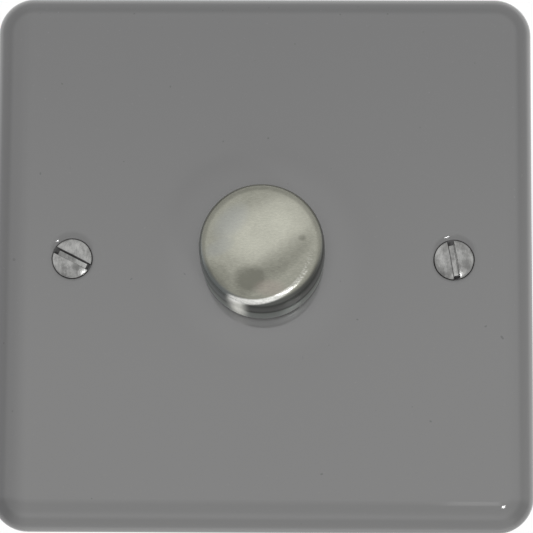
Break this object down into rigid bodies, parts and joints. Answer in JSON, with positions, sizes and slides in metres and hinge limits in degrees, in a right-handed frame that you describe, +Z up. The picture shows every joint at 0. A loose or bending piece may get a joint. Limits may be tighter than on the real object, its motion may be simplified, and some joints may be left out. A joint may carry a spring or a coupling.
{
  "type": "dimmer switch",
  "caption": "Rotary light dimmer on a square grey wall plate, with a steel knob that turns to dim and pushes for on and off.",
  "frame": {"origin": "middle of the plate's rim, on the plane where it meets the wall", "axes": "+Z up, +X to the right as seen from the room, +Y into the wall; the knob points along -Y"},
  "size_m": [0.086, 0.041, 0.086],
  "materials": {
    "enamelled_steel": "smooth glossy grey enamel",
    "bright_screw_steel": "turned and nickel plated",
    "brushed_knob_steel": "brushed, warm grey",
    "zinc_steel": "zinc plated",
    "spring_steel": "plain spring steel",
    "turned_brass": "turned",
    "contact_copper": "copper alloy",
    "folded_aluminium": "mill finish",
    "black_moulding": "fine textured moulding",
    "red_fibre": "vulcanised fibre",
    "grey_moulding": "natural moulding",
    "board_laminate": "paper laminate",
    "carbon_print": "printed carbon",
    "tinned_metal": "tinned",
    "dark_ferrite": "sintered",
    "enamelled_wire": "varnished copper",
    "capacitor_box": "potted box",
    "fuse_glass": "clear tube",
    "resistor_coating": "dipped coating"
  },
  "bodies": {
    "housing": {"bush_nut": "turned_brass", "case_screws": "zinc_steel", "choke_core": "dark_ferrite", "choke_winding": "enamelled_wire", "circuit_board": "board_laminate", "earth_screw": "zinc_steel", "earth_terminal": "turned_brass", "filter_capacitor": "capacitor_box", "fixed_contacts": "turned_brass", "fixing_screw_left": "bright_screw_steel", "fixing_screw_right": "bright_screw_steel", "front_plate": "enamelled_steel", "fuse": "fuse_glass", "fuse_clips": "tinned_metal", "insulating_liner": "black_moulding", "lock_washer": "zinc_steel", "module_case": "black_moulding", "mounting_frame": "folded_aluminium", "pot_cover": "zinc_steel", "pot_tags": "tinned_metal", "pot_wafer": "board_laminate", "resistance_track": "carbon_print", "resistors": "resistor_coating", "return_spring": "spring_steel", "screw_retainers": "red_fibre", "switch_base": "black_moulding", "terminal_common": "turned_brass", "terminal_line_1": "turned_brass", "terminal_line_2": "turned_brass", "terminal_screws": "zinc_steel", "threaded_bush": "turned_brass", "triac": "black_moulding", "triac_rivet": "folded_aluminium"},
    "rotor": {"wiper_rotor": "grey_moulding", "wiper_contact": "contact_copper"},
    "knob": {"knob_cap": "brushed_knob_steel", "knob_insert": "grey_moulding", "grip_spring": "spring_steel", "spindle": "zinc_steel", "retaining_clip": "zinc_steel"},
    "switch": {"switch_plunger": "grey_moulding", "contact_bridge": "contact_copper"}
  },
  "joints": [
    {"name": "knob_turn", "type": "hinge", "parent": "housing", "child": "rotor", "pos_m": [0, 0, 0], "axis": [0, 1, 0], "range_deg": [-140, 140]},
    {"name": "knob_push", "type": "slide", "parent": "rotor", "child": "knob", "axis": [0, 1, 0], "range_m": [0, 0.0012], "stiffness_N_per_m": 1500, "springref_m": -0.001},
    {"name": "switch_travel", "type": "slide", "parent": "housing", "child": "switch", "axis": [0, 1, 0], "range_m": [0, 0.0012], "deforming": ["return_spring"]}
  ],
  "couplings": [
    {"joint": "switch_travel", "follows": "knob_push", "ratio": 1}
  ]
}
